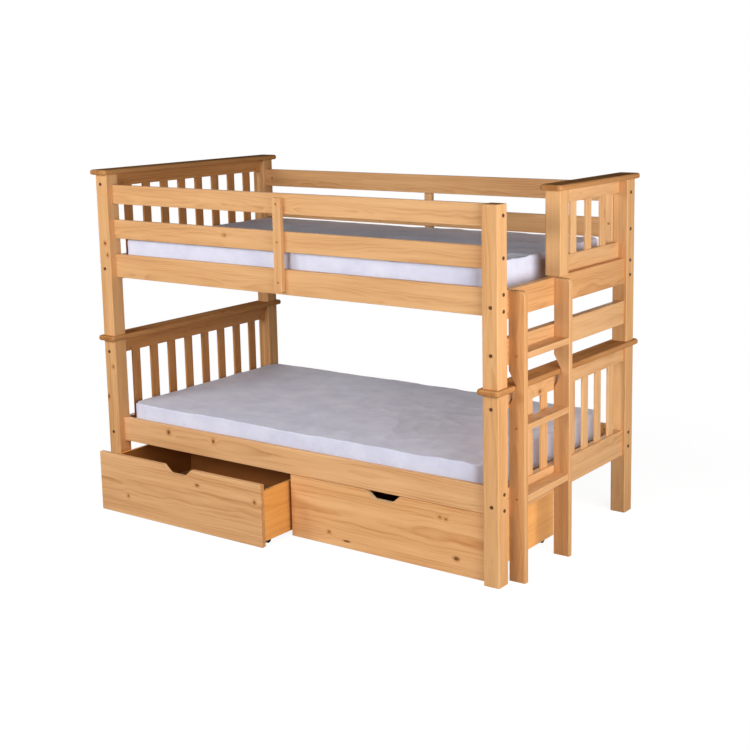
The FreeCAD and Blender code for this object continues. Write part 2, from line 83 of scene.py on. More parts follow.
class Tree:
    """A node tree with short calls for adding and joining nodes."""

    def __init__(self, tree):
        self.tree = tree

    def add(self, kind, inputs=None, **settings):
        made = self.tree.nodes.new("ShaderNode" + kind)
        for key, value in settings.items():
            setattr(made, key, value)
        self.feed(made, inputs or {})
        return made

    def feed(self, made, inputs):
        for key, value in inputs.items():
            if isinstance(value, bpy.types.NodeSocket):
                self.tree.links.new(value, made.inputs[key])
            else:
                made.inputs[key].default_value = value

    def math(self, operation, *values, clamp=False):
        return self.add("Math", dict(enumerate(values)), operation=operation, use_clamp=clamp).outputs[0]

    def vector(self, operation, *values):
        return self.add("VectorMath", dict(enumerate(values)), operation=operation).outputs[0]

    def length(self, value):
        return self.add("VectorMath", {0: value}, operation="LENGTH").outputs["Value"]

    def split(self, value):
        return self.add("SeparateXYZ", {0: value}).outputs

    def join(self, x, y, z):
        return self.add("CombineXYZ", {0: x, 1: y, 2: z}).outputs[0]

    def ramp(self, value, low, high):
        """A smooth step from 0 at low to 1 at high."""
        inputs = {0: value, 1: low, 2: high}
        return self.add("MapRange", inputs, interpolation_type="SMOOTHSTEP").outputs[0]

    def noise(self, place, scale=1.0, detail=2.0, rough=0.5):
        inputs = {"Vector": place, "Scale": scale, "Detail": detail, "Roughness": rough}
        return self.add("TexNoise", inputs).outputs[0]

    def stretched(self, place, waves, detail=2.0, rough=0.5):
        """Noise with its own number of waves per metre along each axis."""
        return self.noise(self.vector("MULTIPLY", place, waves), 1.0, detail, rough)

    def mix(self, share, first, second):
        made = self.add("Mix", data_type="RGBA")
        self.feed(made, {0: share, 6: first, 7: second})
        return made.outputs[2]


def new_material(name):
    """A material with an empty tree, and its surface socket."""
    made = bpy.data.materials.new(name)
    made.use_nodes = True
    made.node_tree.nodes.clear()
    tree = Tree(made.node_tree)
    return made, tree, tree.add("OutputMaterial").inputs["Surface"]


def surface(tree, target, base, rough, height, depth, strength, **values):
    """A principled surface with a bump, whose even values are set on its own sockets."""
    bump = tree.add("Bump", {"Strength": strength, "Distance": depth, "Height": height})
    inputs = {"Base Color": base, "Roughness": rough, "Normal": bump.outputs[0]}
    shader = tree.add("BsdfPrincipled", inputs)
    for key, value in values.items():
        shader.inputs[key.replace("_", " ")].default_value = value
    tree.tree.links.new(shader.outputs[0], target)


# Pine: growth rings round a pith line, fibres along the grain, and knots

# Waves per metre across, through and along a board
SWAY_WAVES = (7.0, 7.0, 2.2)
FIBRE_WAVES = (520.0, 520.0, 11.0)
STREAK_WAVES = (34.0, 34.0, 1.6)
BROAD_WAVES = (6.0, 6.0, 1.1)
RAGGED_WAVES = 160.0
YEAR_WAVES = 55.0

# A span and a start, for a value from 0 to 1
PITH_ASIDE = (0.09, -0.045)
PITH_BELOW = (0.07, 0.022)
TAPER = (0.022, -0.006)
SWAY = (0.044, -0.022)
KNOT_RADIUS = (0.005, 0.0025)
KNOT_RAGGED = (0.004, -0.002)
RING_SHOWN = (1.7, -0.55)
WOOD_ROUGH = (0.12, 0.36)

# Distances from a knot's rim at which its parts begin and are full
KNOT_CORE = (0.0015, -0.002)
KNOT_HALO = (0.014, 0.0)
KNOT_BEND = (0.045, 0.0)

# Knots and rings
KNOT_CELL_LONG = 0.46
KNOT_CELL_WIDE = 0.085
KNOT_SQUEEZE = 0.7
CORE_TONE = colour("5A3216")
HALO_TONE = colour("B06A2C")
CORE_SHARE = 0.8
HALO_SHARE = 0.55
BEND_HEIGHT = 0.006
YEAR_SPREAD = 2.2
LATE_POWER = 1.8
LATE_END = (1.0, 0.8)
DRIFT = 23.0

# Weights in the tone, the roughness and the height of the wood
STREAK_ROUGH = 0.6
STREAK_TONE = 0.75
BROAD_TONE = 0.45
FIBRE_TONE = 0.35
BOARD_TONE = 0.16
MEAN_TONE = 0.3
END_TONE = 0.22
# Eased edges are lighter: partly bare wood on the rounding, partly a painted highlight along the
# corners.
EDGE_PALE_AND_HIGHLIGHT = -0.14
LATE_ROUGH = 0.06
END_ROUGH = 0.16
LATE_HEIGHT = 0.5
FIBRE_HEIGHT = 0.4
CORE_HEIGHT = -0.5

PINE_INPUTS = (
    ("Place", "Vector"), ("Seed", "Float"), ("End", "Float"), ("Edge", "Float"), ("Knot", "Float"),
    ("Knots", "Float"), ("Contrast", "Float"), ("Ring", "Float"), ("Pale", "Color"), ("Deep", "Color"),
)
PINE_OUTPUTS = (("Color", "Color"), ("Roughness", "Float"), ("Height", "Float"))


def scattered_knots(tree, place, chance):
    """The distance from the rim of the nearest scattered knot. A cell has one at most, by chance."""
    across, _, along = tree.split(place)
    cell_x = tree.math("DIVIDE", along, KNOT_CELL_LONG)
    cell_y = tree.math("DIVIDE", across, KNOT_CELL_WIDE)
    inputs = {"Vector": tree.join(cell_x, cell_y, 0.0), "Scale": 1.0}
    voronoi = tree.add("TexVoronoi", inputs, voronoi_dimensions="2D")
    near_x, near_y, _ = tree.split(voronoi.outputs["Position"])
    away_x = tree.math("MULTIPLY", tree.math("SUBTRACT", cell_x, near_x), KNOT_CELL_LONG * KNOT_SQUEEZE)
    away_y = tree.math("MULTIPLY", tree.math("SUBTRACT", cell_y, near_y), KNOT_CELL_WIDE)
    pick, size, _ = tree.add("SeparateColor", {0: voronoi.outputs["Color"]}).outputs
    radius = tree.math("MULTIPLY_ADD", size, *KNOT_RADIUS)
    rim = tree.math("SUBTRACT", tree.length(tree.join(away_x, away_y, 0.0)), radius)
    return tree.math("ADD", rim, tree.math("GREATER_THAN", pick, chance))


def late_wood(tree, given, place, luck, bend):
    """The late wood of each year, from 0 to 1, in rings that sway and that bend round knots."""
    across, through, along = tree.split(given["Place"])
    from_pith_u = tree.math("SUBTRACT", across, tree.math("MULTIPLY_ADD", luck[0], *PITH_ASIDE))
    from_pith_v = tree.math("ADD", through, tree.math("MULTIPLY_ADD", luck[1], *PITH_BELOW))
    radial = tree.length(tree.join(from_pith_u, from_pith_v, 0.0))
    taper = tree.math("MULTIPLY", along, tree.math("MULTIPLY_ADD", luck[2], *TAPER))
    sway = tree.math("MULTIPLY_ADD", tree.stretched(place, SWAY_WAVES, 3.0), *SWAY)
    radial = tree.math("ADD", tree.math("ADD", radial, taper), sway)
    radial = tree.math("MULTIPLY_ADD", bend, BEND_HEIGHT, radial)
    year_place = tree.join(tree.math("MULTIPLY", radial, YEAR_WAVES), given["Seed"], 0.0)
    years = tree.noise(year_place, detail=1.0)
    phase = tree.math("MULTIPLY_ADD", years, YEAR_SPREAD, tree.math("DIVIDE", radial, given["Ring"]))
    turn = tree.math("FRACT", phase)
    return tree.math("MULTIPLY", tree.math("POWER", turn, LATE_POWER), tree.ramp(turn, *LATE_END))


def pine_figure():
    """The group that turns a place in a board, in metres, into pine."""
    group = bpy.data.node_groups.new("pine_figure", "ShaderNodeTree")
    for name, kind in PINE_INPUTS:
        group.interface.new_socket(name, in_out="INPUT", socket_type="NodeSocket" + kind)
    for name, kind in PINE_OUTPUTS:
        group.interface.new_socket(name, in_out="OUTPUT", socket_type="NodeSocket" + kind)
    tree = Tree(group)
    given = group.nodes.new("NodeGroupInput").outputs
    result = group.nodes.new("NodeGroupOutput").inputs
    chance = tree.add("TexWhiteNoise", {"W": given["Seed"]}, noise_dimensions="1D").outputs["Color"]
    luck = tree.add("SeparateColor", {0: chance}).outputs
    drift = tree.vector("SCALE", chance)
    drift.node.inputs["Scale"].default_value = DRIFT
    place = tree.vector("ADD", given["Place"], drift)

    scattered = scattered_knots(tree, place, given["Knots"])
    ragged = tree.math("MULTIPLY_ADD", tree.noise(place, RAGGED_WAVES), *KNOT_RAGGED)
    knot = tree.math("ADD", tree.math("MINIMUM", scattered, given["Knot"]), ragged)
    core = tree.ramp(knot, *KNOT_CORE)
    halo = tree.ramp(knot, *KNOT_HALO)
    late = late_wood(tree, given, place, luck, tree.ramp(knot, *KNOT_BEND))
    fibre = tree.stretched(place, FIBRE_WAVES)
    streak = tree.stretched(place, STREAK_WAVES, 3.0, STREAK_ROUGH)
    broad = tree.stretched(place, BROAD_WAVES)

    depth = tree.math("MULTIPLY", late, tree.math("MULTIPLY_ADD", streak, *RING_SHOWN, clamp=True))
    weights = ((streak, STREAK_TONE), (broad, BROAD_TONE), (fibre, FIBRE_TONE), (luck[1], BOARD_TONE))
    for value, weight in weights:
        depth = tree.math("MULTIPLY_ADD", tree.math("SUBTRACT", value, 0.5), weight, depth)
    depth = tree.math("MULTIPLY_ADD", depth, given["Contrast"], MEAN_TONE)
    depth = tree.math("MULTIPLY_ADD", given["End"], END_TONE, depth)
    # Lightens the eased edges: partly bare wood, partly a painted highlight.
    depth = tree.math("MULTIPLY_ADD", given["Edge"], EDGE_PALE_AND_HIGHLIGHT, depth, clamp=True)
    tone = tree.mix(depth, given["Pale"], given["Deep"])
    tone = tree.mix(tree.math("MULTIPLY", halo, HALO_SHARE), tone, HALO_TONE)
    tone = tree.mix(tree.math("MULTIPLY", core, CORE_SHARE), tone, CORE_TONE)
    rough = tree.math("MULTIPLY_ADD", fibre, *WOOD_ROUGH)
    rough = tree.math("MULTIPLY_ADD", late, LATE_ROUGH, rough)
    rough = tree.math("MULTIPLY_ADD", given["End"], END_ROUGH, rough)
    height = tree.math("MULTIPLY_ADD", late, LATE_HEIGHT, tree.math("MULTIPLY", fibre, FIBRE_HEIGHT))
    height = tree.math("MULTIPLY_ADD", core, CORE_HEIGHT, height)
    tree.tree.links.new(tone, result["Color"])
    tree.tree.links.new(rough, result["Roughness"])
    tree.tree.links.new(height, result["Height"])
    return group


PINE = pine_figure()
RING = 0.0068
WIDE_RING = 0.0095
FINISHES = {
    "pine": dict(pale="E9B984", deep="AE6F36", knots=0.10, contrast=0.72, ring=RING),
    # headboard_pine is a darker copy of pine: painted shade for the shade inside the bunks.
    "headboard_pine": dict(pale="CF955B", deep="915323", knots=0.10, contrast=0.72, ring=RING),
    "cap_pine": dict(pale="CF9862", deep="8E5326", knots=0.10, contrast=0.72, ring=RING),
    # ladder_pine is a slightly darker, more orange copy of pine for the front stile: painted shade for
    # the post's shadow on it.
    "ladder_pine": dict(pale="E4B079", deep="A66831", knots=0.10, contrast=0.72, ring=RING),
    "amber_pine": dict(pale="E2AA72", deep="A26328", knots=0.10, contrast=0.80, ring=RING),
    "slat_pine": dict(pale="EBCFA2", deep="BE9258", knots=0.22, contrast=0.90, ring=RING),
    "drawer_pine": dict(pale="EEBE8A", deep="B5763E", knots=0.10, contrast=0.85, ring=WIDE_RING),
    # pale_pine is a lighter copy of pine for the right drawer front: painted light, making up for the
    # light falling off toward the floor.
    "pale_pine": dict(pale="F6C48C", deep="C07C40", knots=0.10, contrast=0.85, ring=WIDE_RING),
    "drawer_side_pine": dict(pale="FAB664", deep="D2883A", knots=0.10, contrast=0.70, ring=WIDE_RING),
}
# Boards whose tone departs from their slot's, by a word in their name. Some are painted light: the
# darker headboards and front stile stand in for shade, the paler right drawer front and lower front rail
# for light.
TONES_AND_PAINTED_LIGHT = {
    "headboard": "headboard_pine",
    "cap": "cap_pine",
    "stile_front": "ladder_pine",
    # Painted light: the right drawer front and the lower front rail take paler tones, which make up for
    # the light falling off toward the floor.
    "drawer_right_front": "pale_pine",
    "lower_side_rail_front": "drawer_pine",
    "upper_end_rail": "amber_pine",
}
# The axis of the grain, by a word in a node's name, where the first word found counts
GRAIN = {
    "z": ("headboard_slats", "footboard_slats", "panel_slats", "post", "straps", "stile"),
    "y": ("cap", "headboard", "footboard", "end_", "bridge", "bed_slats", "rungs"),
    "x": ("side_rail", "guard_rail", "cleats", "front"),
}
# Rows of even boards in one node: the axis of the row, their number and their width
CELLS = {
    "lower_headboard_slats": ("y", 8, 0.046),
    "lower_footboard_slats": ("y", 8, 0.046),
    "upper_headboard_slats": ("y", 8, 0.046),
    "end_panel_slats": ("y", 3, 0.046),
    "guard_straps": ("y", 2, 0.022),
    "slat_cleats": ("y", 2, 0.022),
    "lower_bed_slats": ("x", 12, 0.070),
    "upper_bed_slats": ("x", 12, 0.070),
    "ladder_rungs": ("z", 3, 0.025),
}
DRAWER_SIDES = ("x", 2, 0.015)
# Large knots of single boards: their places, then their reach along x, y and z
KNOTS = {
    "upper_post_front_left": (
        ((-1.000, 0, 1.154), (0.005, 0, 0.006)), ((-0.988, 0, 1.102), (0.004, 0, 0.005)),
    ),
    "lower_post_front_left": (
        ((-0.990, 0, 0.604), (0.004, 0, 0.005)), ((-1.028, 0, 0.465), (0.005, 0, 0.008)),
    ),
    "lower_side_rail_front": (
        ((-0.693, 0, 0.341), (0.008, 0, 0.008)), ((-0.429, 0, 0.339), (0.006, 0, 0.007)),
    ),
    "drawer_left_front": (
        ((-0.357, 0, 0.206), (0.008, 0, 0.005)), ((-0.044, 0, 0.188), (0.005, 0, 0.006)),
        ((-0.770, 0, 0.090), (0.004, 0, 0.004)),
    ),
    "drawer_right_front": (
        ((0.277, 0, 0.034), (0.016, 0, 0.004)), ((0.797, 0, 0.067), (0.011, 0, 0.007)),
        ((0.188, 0, 0.057), (0.005, 0, 0.004)), ((0.725, 0, 0.216), (0.004, 0, 0.003)),
        ((0.752, 0, 0.213), (0.004, 0, 0.003)),
    ),
}
NO_KNOT_NEAR = 1.0
SEED_START = 0.5
SEED_STEP = 1.37
CELL_SEED_STEP = 0.731
END_FACE = (0.6, 0.95)
EASED_EDGE = (0.97, 0.75)
WOOD_BUMP = dict(depth=0.0004, strength=0.3)
WOOD_GLOSS = 0.15
MATT_BOARDS = ("cap", "post")


def knot_distance(tree, point, knots):
    """The distance from the rim of the nearest of some knots, which are (place, reach on each axis)."""
    nearest = None
    for place, reach in knots:
        away = tree.vector("SUBTRACT", point, place)
        radius = max(reach)
        scale = tuple(radius / r if r else 0.0 for r in reach)
        rim = tree.math("SUBTRACT", tree.length(tree.vector("MULTIPLY", away, scale)), radius)
        nearest = rim if nearest is None else tree.math("MINIMUM", nearest, rim)
    return nearest


def board_figure(tree, node, grain, finish, cell=None, knots=()):
    """The pine group of one board, or of a row of even boards given by axis, number and width."""
    low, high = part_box(node)
    size = list(high - low)
    middle = list((low + high) / 2)
    seed = sorted(nodes).index(node) * SEED_STEP + SEED_START
    along = AXES.index(grain)
    coordinates = tree.add("TexCoord").outputs
    local = list(tree.split(coordinates["Object"]))
    normal = [tree.math("ABSOLUTE", part) for part in tree.split(coordinates["Normal"])]
    if cell:
        row, number, width = cell
        axis = AXES.index(row)
        first = low[axis] + width / 2
        pitch = (size[axis] - width) / (number - 1)
        steps = tree.math("DIVIDE", tree.math("SUBTRACT", local[axis], first), pitch)
        count = tree.math("ROUND", steps)
        local[axis] = tree.math("SUBTRACT", local[axis], tree.math("MULTIPLY_ADD", count, pitch, first))
        seed = tree.math("MULTIPLY_ADD", count, CELL_SEED_STEP, seed)
        size[axis] = width
        middle[axis] = 0.0
    across, through = sorted((i for i in range(3) if i != along), key=lambda i: -size[i])
    place = tree.join(*(tree.math("SUBTRACT", local[i], middle[i]) for i in (across, through, along)))
    flat = tree.math("MAXIMUM", normal[0], tree.math("MAXIMUM", normal[1], normal[2]))
    inputs = {
        "Place": place,
        "Seed": seed,
        "End": tree.ramp(normal[along], *END_FACE),
        "Edge": tree.ramp(flat, *EASED_EDGE),
        "Knot": knot_distance(tree, coordinates["Object"], knots) if knots else NO_KNOT_NEAR,
        "Knots": 0.0 if knots else finish["knots"],
        "Contrast": finish["contrast"],
        "Ring": finish["ring"],
        "Pale": colour(finish["pale"]),
        "Deep": colour(finish["deep"]),
    }
    made = tree.add("Group", node_tree=PINE)
    tree.feed(made, inputs)
    return made.outputs


# The paler cut faces of a drawer front's hand-hold, partly bare wood and partly painted light: how much
# of it shows, its tone and its reach. The right drawer's larger share is painted light, the left
# drawer's smaller one painted shade.
ROUTED_PALE_AND_LIGHT = {"drawer_left_front": 0.15, "drawer_right_front": 0.75}
ROUTED_PALE_AND_LIT_TONE = colour("F8D8A8")
HAND_CUT_HALF = 0.095
HAND_CUT_DEEP = 0.040
HAND_CUT_TOP = 0.002
HAND_CUT_TURN = 0.6


def routed_share(tree, node):
    """1 on the cut faces of a drawer front's hand-hold, and 0 elsewhere."""
    low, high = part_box(node)
    coordinates = tree.add("TexCoord").outputs
    x, _, z = tree.split(coordinates["Object"])
    aside = tree.math("ABSOLUTE", tree.math("SUBTRACT", x, (low.x + high.x) / 2))
    across = tree.math("ABSOLUTE", tree.split(coordinates["Normal"])[1])
    parts = (
        tree.math("LESS_THAN", aside, HAND_CUT_HALF),
        tree.math("LESS_THAN", across, HAND_CUT_TURN),
        tree.math("LESS_THAN", z, high.z - HAND_CUT_TOP),
        tree.math("GREATER_THAN", z, high.z - HAND_CUT_DEEP),
    )
    share = parts[0]
    for part in parts[1:]:
        share = tree.math("MULTIPLY", share, part)
    return share


def grain_of(node):
    """The axis that a node's grain runs along."""
    return next(axis for axis, words in GRAIN.items() if any(word in node for word in words))


def timber(node):
    """Pine for one node."""
    made, tree, target = new_material("wood_" + node)
    finish = FINISHES[next((name for word, name in TONES_AND_PAINTED_LIGHT.items() if word in node), slot_of[node])]
    wood = board_figure(tree, node, grain_of(node), finish, CELLS.get(node), KNOTS.get(node, ()))
    base = wood["Color"]
    # The hand-hold's cut faces are mixed toward a pale tone: partly bare wood, partly painted light,
    # stronger on the right drawer than on the left.
    if node in ROUTED_PALE_AND_LIGHT:
        routed_and_lit = tree.math("MULTIPLY", routed_share(tree, node), ROUTED_PALE_AND_LIGHT[node])
        base = tree.mix(routed_and_lit, base, ROUTED_PALE_AND_LIT_TONE)
    gloss = 0.0 if any(word in node for word in MATT_BOARDS) else WOOD_GLOSS
    surface(tree, target, base, wood["Roughness"], wood["Height"], **WOOD_BUMP, Specular_IOR_Level=gloss)
    nodes[node].material_slots[0].material = made


# Drawer boxes: which faces are the back's and which look inward, and the painted shade on the inside
# faces, a dark brown in place of the shade under the bed
BACK_FACING = 0.7
FRONT_FACING = -0.5
INWARD = -0.1
INSIDE_PAINTED_SHADE = colour("6E340C")
INSIDE_SHADE_SHARE = 0.8
BOX_GLOSS = 0.3


def drawer_panels(node):
    """Pine for a drawer's sides, whose grain runs back, and for its back, whose grain runs across, with
    painted shade on its inside faces.
    """
    made, tree, target = new_material("wood_" + node)
    finish = FINISHES["drawer_side_pine"]
    sides = board_figure(tree, node, "y", finish, DRAWER_SIDES)
    back = board_figure(tree, node, "x", finish)
    coordinates = tree.add("TexCoord").outputs
    normal_x, normal_y, _ = tree.split(coordinates["Normal"])
    on_back = tree.math("GREATER_THAN", tree.math("ABSOLUTE", normal_y), BACK_FACING)
    base = tree.mix(on_back, sides["Color"], back["Color"])
    low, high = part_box(node)
    from_middle = tree.math("SUBTRACT", tree.split(coordinates["Object"])[0], (low.x + high.x) / 2)
    inward = tree.math("LESS_THAN", tree.math("MULTIPLY", from_middle, normal_x), INWARD)
    # Painted shade: the inward faces and the back's front-facing face are mixed toward a dark brown that
    # stands in for the shade under the bed.
    inside = tree.math("MAXIMUM", inward, tree.math("LESS_THAN", normal_y, FRONT_FACING))
    base = tree.mix(tree.math("MULTIPLY", inside, INSIDE_SHADE_SHARE), base, INSIDE_PAINTED_SHADE)
    rough, height = sides["Roughness"], sides["Height"]
    surface(tree, target, base, rough, height, **WOOD_BUMP, Specular_IOR_Level=BOX_GLOSS)
    nodes[node].material_slots[0].material = made


# Plywood: waves per metre along x, y and z, tones of its faces and plies, and spans and starts
RAY_WAVES = (240.0, 14.0, 240.0)
CLOUD_WAVES = (9.0, 2.0, 9.0)
PLY_FACES = (colour("B48350"), colour("8A5C30"))
PLY_EDGES = (colour("D9B884"), colour("8E6437"))
PLY_PITCH = 0.004
RAY_TONE = 0.5
CLOUD_TONE = (0.8, -0.35)
PLY_ROUGH = (0.15, 0.5)
PLY_BUMP = dict(depth=0.0003, strength=0.3)
PLY_GLOSS = 0.3


def plywood(node):
    """A thin birch panel: pale faces with fine rays, and plies on its edges."""
    made, tree, target = new_material("ply_" + node)
    coordinates = tree.add("TexCoord").outputs
    place = coordinates["Object"]
    rays = tree.stretched(place, RAY_WAVES, 3.0)
    cloud = tree.stretched(place, CLOUD_WAVES, 3.0)
    depth = tree.math("MULTIPLY_ADD", cloud, *CLOUD_TONE)
    depth = tree.math("MULTIPLY_ADD", rays, RAY_TONE, depth, clamp=True)
    level = tree.math("FRACT", tree.math("DIVIDE", tree.split(place)[2], PLY_PITCH))
    edge = tree.mix(tree.math("GREATER_THAN", level, 0.5), *PLY_EDGES)
    upright = tree.math("LESS_THAN", tree.math("ABSOLUTE", tree.split(coordinates["Normal"])[2]), 0.5)
    base = tree.mix(upright, tree.mix(depth, *PLY_FACES), edge)
    rough = tree.math("MULTIPLY_ADD", rays, *PLY_ROUGH)
    surface(tree, target, base, rough, rays, **PLY_BUMP, Specular_IOR_Level=PLY_GLOSS)
    nodes[node].material_slots[0].material = made


# Metal and plastic: grain per metre, roughness as a span and a start, and the bump's depth
SPECKLE_ROUGH = 0.65
SPECKLE_STEP = (0.35, 0.65)
SPECKLE_FINER = 9.0
SPECKLE_BUMP = 0.35
DULL_METAL = dict(scale=220.0, roughness=(0.25, 0.45), depth=0.0002, Specular_IOR_Level=0.2)
BRIGHT_METAL = dict(scale=180.0, roughness=(0.22, 0.28), depth=0.0001, Metallic=1.0)
HARD_PLASTIC = dict(scale=150.0, roughness=(0.20, 0.45), depth=0.0002, Specular_IOR_Level=0.15)


def speckled(name, members, first, second, scale, roughness, depth, **values):
    """A finish of two close tones in fine cloudy grain, for metal and plastic."""
    made, tree, target = new_material(name)
    place = tree.add("TexCoord").outputs["Object"]
    cloud = tree.noise(place, scale, 4.0, SPECKLE_ROUGH)
    fine = tree.noise(place, scale * SPECKLE_FINER)
    base = tree.mix(tree.ramp(cloud, *SPECKLE_STEP), colour(first), colour(second))
    rough = tree.math("MULTIPLY_ADD", fine, *roughness)
    surface(tree, target, base, rough, fine, depth, SPECKLE_BUMP, **values)
    for node in members:
        nodes[node].material_slots[0].material = made


def members_of(slot):
    """The nodes of one of the record's material slots."""
    return sorted(node for node, name in slot_of.items() if name == slot)


for node in sorted(nodes):
    if node.endswith("box_panels"):
        drawer_panels(node)
    elif slot_of[node] in FINISHES:
        timber(node)
    elif slot_of[node] == "plywood":
        plywood(node)
BRIGHT_STEEL = [node for node in members_of("bright_steel") if node != "barrel_nuts"]
speckled("bronzed_bolt", ["rail_bolts"], "4A2E1A", "6A4426", **DULL_METAL)
speckled("brown_screw", ["wood_screws"], "A86C34", "BE8044", **DULL_METAL)
speckled("dull_brass", ["barrel_nuts"], "AE7A40", "C08C4E", **DULL_METAL)
speckled("zinc_steel", BRIGHT_STEEL, "A8ABB0", "C6C8CC", **BRIGHT_METAL)
speckled("black_plastic", members_of("black_plastic"), "0C0C0D", "161618", **HARD_PLASTIC)


# Mattresses: foam blocks in a stretched cotton cover

COVER_INSET = 0.005
COVER_EDGE = 0.011
COVER_CORNER = 0.042
COVER_STEP = 0.012
COVER_SWELL = 0.005
UNDERSIDE_HEIGHT = 0.004
CLOTH_FRAMES = 20
CLOTH = dict(
    quality=5,
    mass=0.25,
    tension_stiffness=12.0,
    compression_stiffness=12.0,
    shear_stiffness=4.0,
    bending_stiffness=0.4,
    shrink_min=-0.012,
    use_pressure=True,
    uniform_pressure_force=4.0,
)


def block_lines(half, edge, step):
    """Places along one axis of a block, close together at its two ends."""
    count = max(4, round(2 * (half - edge) / step))
    inner = [(half - edge) * (2 * k / count - 1) for k in range(count + 1)]
    return [-half, 0.5 * edge - half] + inner + [half - 0.5 * edge, half]


def eased(raw, half, edge, corner):
    """A point of a block's surface, moved in where its edges and its upright corners are rounded."""
    core = Vector(max(edge - h, min(h - edge, c)) for c, h in zip(raw, half))
    away = raw - core
    if away.length:
        away = away.normalized() * edge
    turn = [abs(core[i]) - (half[i] - corner) for i in (0, 1)]
    if min(turn) <= 0.0:
        return core + away
    reach = max(turn)
    length = math.hypot(*turn)
    spread = math.hypot(away.x, away.y)
    for i in (0, 1):
        share = turn[i] / length
        core[i] = math.copysign(half[i] - corner + share * reach, raw[i])
        away[i] = math.copysign(share * spread, raw[i])
    return core + away


def rounded_block(name, half, edge, corner, step):
    """A closed block of quads with rounded edges, centred on its own origin."""
    lines = [block_lines(h, edge, step) for h in half]
    last = [len(places) - 1 for places in lines]
    shape = bmesh.new()
    points = {}

    def point(key):
        if key not in points:
            raw = Vector(places[k] for places, k in zip(lines, key))
            points[key] = shape.verts.new(eased(raw, half, edge, corner))
        return points[key]

    for axis in range(3):
        p, q = (axis + 1) % 3, (axis + 2) % 3
        for level in (0, last[axis]):
            for i in range(last[p]):
                for j in range(last[q]):
                    ring = []
                    for di, dj in ((0, 0), (1, 0), (1, 1), (0, 1)):
                        key = [0, 0, 0]
                        key[axis], key[p], key[q] = level, i + di, j + dj
                        ring.append(point(tuple(key)))
                    shape.faces.new(ring if level else ring[::-1])
    mesh = bpy.data.meshes.new(name)
    shape.to_mesh(mesh)
    shape.free()
    made = bpy.data.objects.new(name, mesh)
    bpy.context.scene.collection.objects.link(made)
    return made


def swell(made, half, cap):
    """Blows the cover up over the foam as cloth, with its underside held and each move capped."""
    start = [corner.co.copy() for corner in made.data.vertices]
    held = made.vertex_groups.new(name="underside")
    underside = [i for i, place in enumerate(start) if place.z < UNDERSIDE_HEIGHT - half[2]]
    held.add(underside, 1.0, "ADD")
    cloth = made.modifiers.new("cover", "CLOTH")
    for key, value in CLOTH.items():
        setattr(cloth.settings, key, value)
    cloth.settings.vertex_group_mass = held.name
    cloth.settings.effector_weights.gravity = 0.0
    cloth.collision_settings.use_collision = False
    cloth.point_cache.frame_start = 1
    cloth.point_cache.frame_end = CLOTH_FRAMES
    scene = bpy.context.scene
    for moment in range(1, CLOTH_FRAMES + 1):
        scene.frame_set(moment)
    shaped = made.evaluated_get(bpy.context.evaluated_depsgraph_get()).to_mesh()
    moved = [corner.co.copy() for corner in shaped.vertices]
    made.modifiers.remove(cloth)
    scene.frame_set(1)
    for corner, first, last in zip(made.data.vertices, start, moved):
        step = last - first
        if step.length > cap:
            step = step.normalized() * cap
        corner.co = first + step
    made.vertex_groups.remove(held)


# Creases of the cover: waves per metre along x, y and z, then the noise's shifts, shares and heights
BEND_WAVES = (1.7, 1.9, 0.0)
SOFT_WAVES = (2.2, 3.1, 6.0)
RIPPLE_WAVES = (7.0, 10.0, 0.0)
LONG_FOLD_WAVES = (5.0, 8.0, 8.0)
SHORT_FOLD_WAVES = (11.0, 7.0, 8.0)
DENT_WAVES = (5.0, 0.0, 9.0)
RIPPLE_LEVEL = 0.5
RIPPLE_TURN = 2.0
DENT_LEVEL = 3.0
FOLD_SHARP = 5
SHORT_FOLD_SEED = 9.0
SHORT_FOLD_SHARE = 0.6
MEAN_FOLD = 0.5
SOFT_HEIGHT = 0.0026
RIPPLE_HEIGHT = 0.0026
FOLD_HEIGHT = 0.0052
DENT_DEPTH = 0.0016
PIPING_HEIGHT = 0.004
HEAD_SHARE = 0.25
FREE_FROM = 0.4
SIDE_FROM = 0.93


def clamped(value):
    """A value held between 0 and 1."""
    return max(0.0, min(1.0, value))


def waves(place, scale, shift):
    """Smooth noise from -1 to 1, with its waves per metre and its shift along each axis."""
    return noise.noise(Vector(p * s + d for p, s, d in zip(place, scale, shift)))


def fold(place, seed, scale):
    """A field of creases from 0 to 1, whose ridges are narrow."""
    bent = waves(place, BEND_WAVES, (seed, 0.0, 0.0))
    return (1.0 - abs(waves(place, scale, (bent, seed, 0.0)))) ** FOLD_SHARP


def rumple(made, half, seed):
    """Shallow creases: soft waves all over the cover, and narrow pulls that gather at the foot end."""
    for corner in made.data.vertices:
        place = corner.co.copy()
        top = clamped((place.z + half[2] * FREE_FROM) / half[2])
        wave = waves(place, SOFT_WAVES, (seed, 0.0, 0.0))
        ripple = waves(place, RIPPLE_WAVES, (RIPPLE_TURN * wave, seed, RIPPLE_LEVEL))
        foot = HEAD_SHARE + (1.0 - HEAD_SHARE) * clamped(0.5 + place.x / half[0])
        short = fold(place, seed + SHORT_FOLD_SEED, SHORT_FOLD_WAVES)
        pull = fold(place, seed, LONG_FOLD_WAVES) + SHORT_FOLD_SHARE * short
        lift = SOFT_HEIGHT * wave + RIPPLE_HEIGHT * ripple + FOLD_HEIGHT * foot * (pull - MEAN_FOLD)
        corner.co.z += top * lift
        if abs(place.y) > SIDE_FROM * half[1]:
            dent = waves(place, DENT_WAVES, (seed, DENT_LEVEL, 0.0))
            corner.co.y += math.copysign(DENT_DEPTH, place.y) * dent * top
        outside = max(abs(place.x) - half[0], abs(place.y) - half[1]) + COVER_EDGE
        piping = max(0.0, min(outside, place.z - half[2] + COVER_EDGE)) / COVER_EDGE
        corner.co += Vector((0.0, math.copysign(PIPING_HEIGHT, place.y), PIPING_HEIGHT)) * piping


